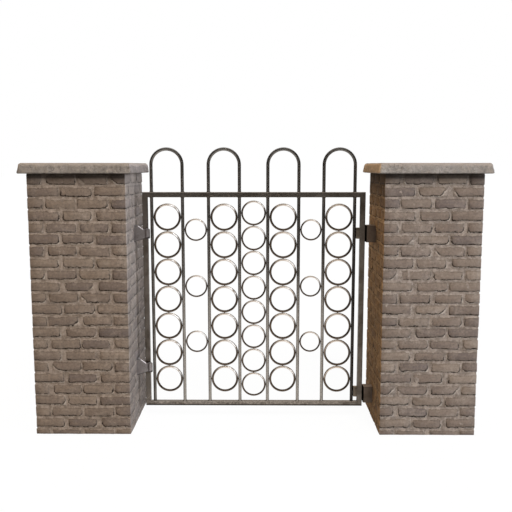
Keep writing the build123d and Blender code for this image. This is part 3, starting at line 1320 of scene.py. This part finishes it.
def modelBead(name, size, values):
    half = Vector(size) / 2
    bead = addCube(name, -half, half)
    bevelEdges(bead, lambda edge: True, values["rounding"], 2)
    return bead


def copyAt(model, place, values, luck):
    # one copy, each with its own slight unevenness
    copy = copyOf(model)
    seed = anySeed(luck)
    swell = luck.uniform(*unevenness["swell"])
    for vertex in copy.data.vertices:
        ripple = noise.noise_vector(vertex.co * unevenness["rippleScale"] + seed) * values["ripple"]
        vertex.co = vertex.co * swell + ripple + Vector(place)
    return copy


def finishBeads(beads, models, name, body, steel):
    for model in models:
        bpy.data.objects.remove(model)
    joined = joinPieces(beads, name)
    paint(joined, steel)
    smoothShade(joined, unevenness["smooth"])
    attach(joined, body)
    return joined


def buildRingWelds(values):
    luck = random.Random(values["seed"])
    toBar = modelBead("barBead", (values["acrossBar"], values["deep"], values["tall"]), values)
    toRing = modelBead("ringBead", (values["tall"], values["deep"], values["acrossBar"]), values)
    beads = []
    for number, count in ringFinish["counts"].items():
        low, high, radius, pitch = ringLayout(number)
        middle = (low + high) / 2
        for step in range(count):
            level = low.z + radius + step * pitch
            beads.append(copyAt(toBar, (low.x, middle.y, level), values, luck))
            beads.append(copyAt(toBar, (high.x, middle.y, level), values, luck))
            if step and pitch - 2 * radius < values["touching"]:
                beads.append(copyAt(toRing, (middle.x, middle.y, level - pitch / 2), values, luck))
    return finishBeads(beads, (toBar, toRing), "ringWelds", "gate_leaf", steel["weldSteel"])


def buildBarWelds(values):
    luck = random.Random(values["seed"] + 1)
    size = (values["acrossBar"], values["deep"] * values["railDeeper"], values["railTall"])
    model = modelBead("railBead", size, values)
    topLow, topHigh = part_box("top_rail")
    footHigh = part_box("bottom_rail")[1]
    beads = []
    for number in ("1", "2", "3", "4"):
        low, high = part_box("hoop_" + number)
        bar = high.y - low.y
        for edge in (low.x, low.x + bar, high.x - bar, high.x):
            for level in (topHigh.z, topLow.z, footHigh.z):
                beads.append(copyAt(model, (edge, 0, level), values, luck))
    return finishBeads(beads, (model,), "barWelds", "gate_leaf", steel["weldSteel"])


welds = [build(weldValues) for build in (buildRingWelds, buildBarWelds)]
print("welds built:", sum(len(weld.data.polygons) for weld in welds), "faces")

# The two catch blocks, let into the back of the latch stile
catchValues = {
    "setBack": 0.0065,
    "shortfall": 0.0005,
    "edge": 0.0016,
    "longest": 4,
    "cuts": 3,
    "ripple": 0.0004,
    "rippleScale": 90,
    "smooth": 60,
}


def buildCatch(node, name, values):
    low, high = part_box(node)
    block = addCube(name, low + Vector((0, values["setBack"], 0)), high - Vector((values["shortfall"], 0, 0)))
    bevelEdges(block, lambda edge: True, values["edge"], 2)
    cutEdges(block, lambda edge: edge.calc_length() > values["longest"] * values["edge"], values["cuts"])
    for vertex in block.data.vertices:
        vertex.co += noise.noise_vector(vertex.co * values["rippleScale"]) * values["ripple"]
    keepWithin(block, low, high)
    paint(block, steel["catchSteel"])
    smoothShade(block, values["smooth"])
    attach(block, "gate_leaf")
    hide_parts(node)
    return block


buildCatch("upper_catch", "upperCatchBlock", catchValues)
buildCatch("lower_catch", "lowerCatchBlock", catchValues)
print("catches built")

# Bolts that hold the two hinge plates to the brickwork
boltValues = {
    "headSides": 6,
    "headRadius": 0.0085,
    "headTall": 0.0055,
    "chamfer": 0.0011,
    "leastTall": 2.5,
    "washerSides": 24,
    "washerRadius": 0.0125,
    "washerThick": 0.0019,
    "plateThick": 0.006,
    "spread": 0.027,
    "seed": 61,
    "ripple": 0.0002,
}


def modelBolt(values):
    # a hexagon head on a round washer, looking towards +X, its seat at the origin
    parts = []
    for sides, radius, start, tall in (
        (values["washerSides"], values["washerRadius"], 0.0, values["washerThick"]),
        (values["headSides"], values["headRadius"], values["washerThick"], values["headTall"]),
    ):
        startFresh()
        bpy.ops.mesh.primitive_cylinder_add(
            vertices=sides, radius=radius, depth=tall,
            rotation=(0, math.pi / 2, 0), location=(start + tall / 2, 0, 0),
        )
        part = bpy.context.object
        bpy.ops.object.transform_apply(location=True, rotation=True, scale=True)
        front = start + tall - 0.0002
        chamfer = min(values["chamfer"], tall / values["leastTall"])
        bevelEdges(part, lambda edge: min(v.co.x for v in edge.verts) > front, chamfer, 2)
        parts.append(part)
    return joinPieces(parts, "plateBolt")


def buildPlateBolts(values):
    luck = random.Random(values["seed"])
    model = modelBolt(values)
    bolts = []
    for name in ("upper_hinge_bracket", "lower_hinge_bracket"):
        low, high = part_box(name)
        middle = (low + high) / 2
        for side in (-1, 1):
            place = (low.x + values["plateThick"], 0, middle.z + side * values["spread"])
            bolts.append(copyAt(model, place, values, luck))
    return finishBeads(bolts, (model,), "hingePlateBolts", "piers", steel["bracketSteel"])


buildPlateBolts(boltValues)
print("bolts built")

# Studio: pale floor, soft light and dark walls that only reflections see
studioValues = {
    "floorSize": 160.0,
    "floorColour": (0.42, 0.42, 0.42),
    "floorRough": 0.9,
    "floorGlow": 0.9,
    "floorStrength": 1.065,
    "skyRight": (1.25, 1.42, 1.6),
    "skyMiddle": (0.45, 0.47, 0.5),
    "skyLeft": (2.4, 1.75, 1.15),
    "skyReach": (0.1, 0.9),
    "skyStrength": 0.4,
    "wallRadius": 7.0,
    "wallHeight": 9.0,
    "wallSides": 64,
    "wallColour": (0.06, 0.0582, 0.0552),
}
lampValues = {
    "keyLamp": {"energy": 2.8, "spread": 24.0, "tilt": 46.0, "turn": 12.0, "colour": (1.0, 0.985, 0.96)},
    "sideLamp": {"energy": 2.9, "spread": 20.0, "tilt": 84.0, "turn": 66.0, "colour": (0.80, 0.92, 1.08)},
    "backLamp": {"energy": 1.2, "spread": 40.0, "tilt": 80.0, "turn": 180.0, "colour": (1.0, 0.97, 0.93)},
}


def seenDirectly(tree):
    # 1 for camera, glossy and transmission rays
    path = addNode(tree, "ShaderNodeLightPath").outputs
    return larger(larger(path["Is Camera Ray"], path["Is Glossy Ray"]), path["Is Transmission Ray"])


def blended(factor, first, second):
    node = addNode(treeOf(factor), "ShaderNodeMixShader")
    for socket, value in zip(node.inputs, (factor, first, second)):
        feed(socket, value)
    return node.outputs["Shader"]


def buildFloor(values):
    startFresh()
    bpy.ops.mesh.primitive_plane_add(size=values["floorSize"], location=(0, 0, 0))
    floor = bpy.context.object
    floor.name = "studioFloor"
    material, tree, shader = newMaterial("paleFloor")
    feedAll(shader.inputs, {
        "Base Color": values["floorColour"],
        "Roughness": values["floorRough"],
        "Specular IOR Level": 0.0,
    })
    glow = addNode(tree, "ShaderNodeEmission")
    feed(glow.inputs["Strength"], values["floorStrength"])
    share = times(seenDirectly(tree), values["floorGlow"])
    surface = blended(share, shader.outputs["BSDF"], glow.outputs["Emission"])
    feed(tree.nodes["Material Output"].inputs["Surface"], surface)
    paint(floor, material)


def buildDarkWalls(values):
    startFresh()
    bpy.ops.mesh.primitive_cylinder_add(
        vertices=values["wallSides"], radius=values["wallRadius"], depth=values["wallHeight"],
        end_fill_type="NOTHING", location=(0, 0, values["wallHeight"] / 2),
    )
    wall = bpy.context.object
    wall.name = "studioWalls"
    material, tree, shader = newMaterial("darkWalls")
    glow = addNode(tree, "ShaderNodeEmission")
    feed(glow.inputs["Color"], values["wallColour"])
    feed(tree.nodes["Material Output"].inputs["Surface"], glow.outputs["Emission"])
    paint(wall, material)
    wall.visible_camera = False
    wall.visible_diffuse = False
    wall.visible_shadow = False
    wall.visible_transmission = False


def buildSky(values):
    world = bpy.data.worlds.new("studioSky")
    world.use_nodes = True
    bpy.context.scene.world = world
    tree = world.node_tree
    light = tree.nodes["Background"]
    east = partsOf(addNode(tree, "ShaderNodeTexCoord").outputs["Generated"])[0]
    near, far = values["skyReach"]
    colour = mixed(ramp(east, near, far), values["skyMiddle"], values["skyRight"])
    feed(light.inputs["Color"], mixed(ramp(east, -near, -far), colour, values["skyLeft"]))
    feed(light.inputs["Strength"], values["skyStrength"])
    white = addNode(tree, "ShaderNodeBackground")
    feed(white.inputs["Color"], (1, 1, 1))
    sky = blended(seenDirectly(tree), light.outputs["Background"], white.outputs["Background"])
    feed(tree.nodes["World Output"].inputs["Surface"], sky)


def addSoftLamp(name, energy, spread, tilt, turn, colour):
    startFresh()
    bpy.ops.object.light_add(type="SUN", location=(3, -4, 5))
    lamp = bpy.context.object
    lamp.name = name
    lamp.data.energy = energy
    lamp.data.angle = math.radians(spread)
    lamp.data.color = colour
    lamp.rotation_euler = (math.radians(tilt), 0, math.radians(turn))
    lamp.visible_glossy = False


buildFloor(studioValues)
buildDarkWalls(studioValues)
buildSky(studioValues)
for name, values in lampValues.items():
    addSoftLamp(name, **values)

# Camera, as the photograph was taken
cameraValues = {
    "place": (0.03046, -3.4141, 1.26955),
    "lens": 49.105,
    "sensor": 36.0,
    "lookDown": 0.1286,
    "turnLeft": 0.0080,
}


def placeCamera(values):
    startFresh()
    bpy.ops.object.camera_add(location=values["place"])
    camera = bpy.context.object
    camera.name = "photoCamera"
    camera.data.lens = values["lens"]
    camera.data.sensor_width = values["sensor"]
    camera.rotation_euler = (math.pi / 2 - values["lookDown"], 0, values["turnLeft"])
    bpy.context.scene.camera = camera


placeCamera(cameraValues)
bpy.context.scene.view_settings.view_transform = "Standard"
print("studio ready")
